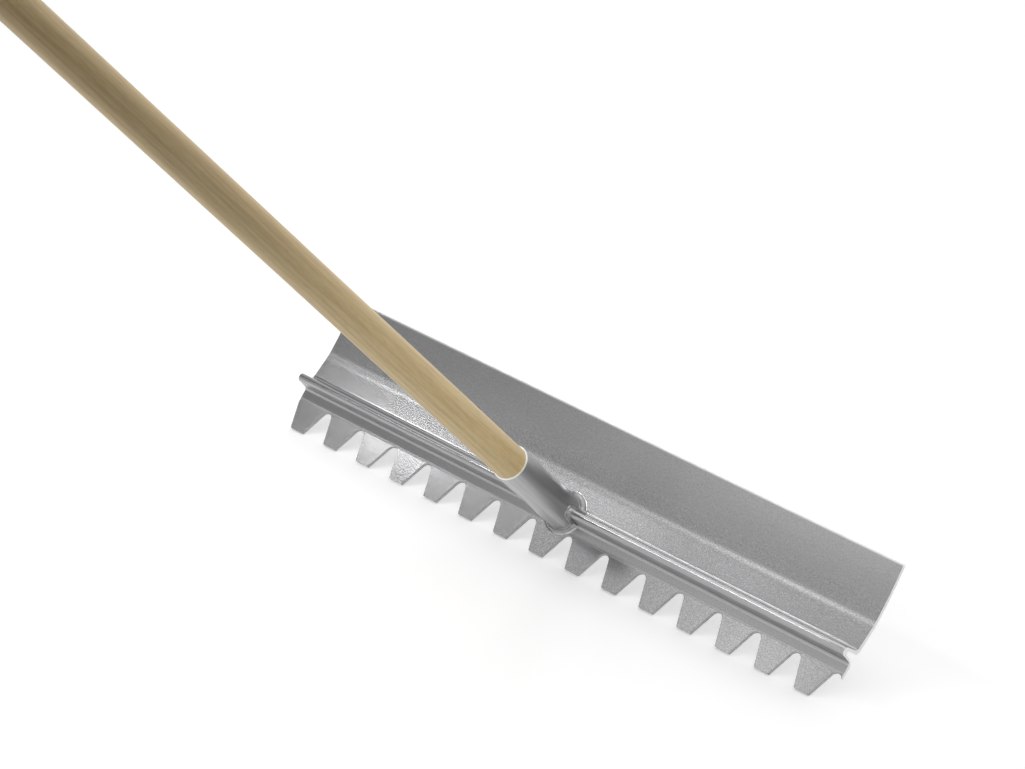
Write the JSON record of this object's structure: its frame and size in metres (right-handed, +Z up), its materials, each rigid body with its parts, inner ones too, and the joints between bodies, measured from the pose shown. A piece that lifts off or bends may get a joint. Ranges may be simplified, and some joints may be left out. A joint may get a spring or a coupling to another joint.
{
  "type": "concrete rake",
  "caption": "Long-handled rake for spreading concrete: toothed aluminium blade head with a beaded ridge, a welded tube socket and a round wooden pole.",
  "frame": {"origin": "middle of the head's length on the tooth-tip line, where the tips' back edges touch the floor in the working pose", "axes": "+X along the head to the operator's right, +Y away from the operator, +Z up; the pole leans back towards -Y, 49.1 degrees above the floor"},
  "size_m": [0.6, 1.0599, 1.1849],
  "materials": {
    "head_aluminium": "satin",
    "socket_aluminium": "satin",
    "weld_aluminium": "satin",
    "pole_wood": "satin",
    "screw_steel": "satin"
  },
  "bodies": {
    "root": {"rake_head": "head_aluminium", "handle_socket": "socket_aluminium", "socket_weld": "weld_aluminium", "handle": "pole_wood", "handle_screw": "screw_steel"}
  },
  "joints": []
}
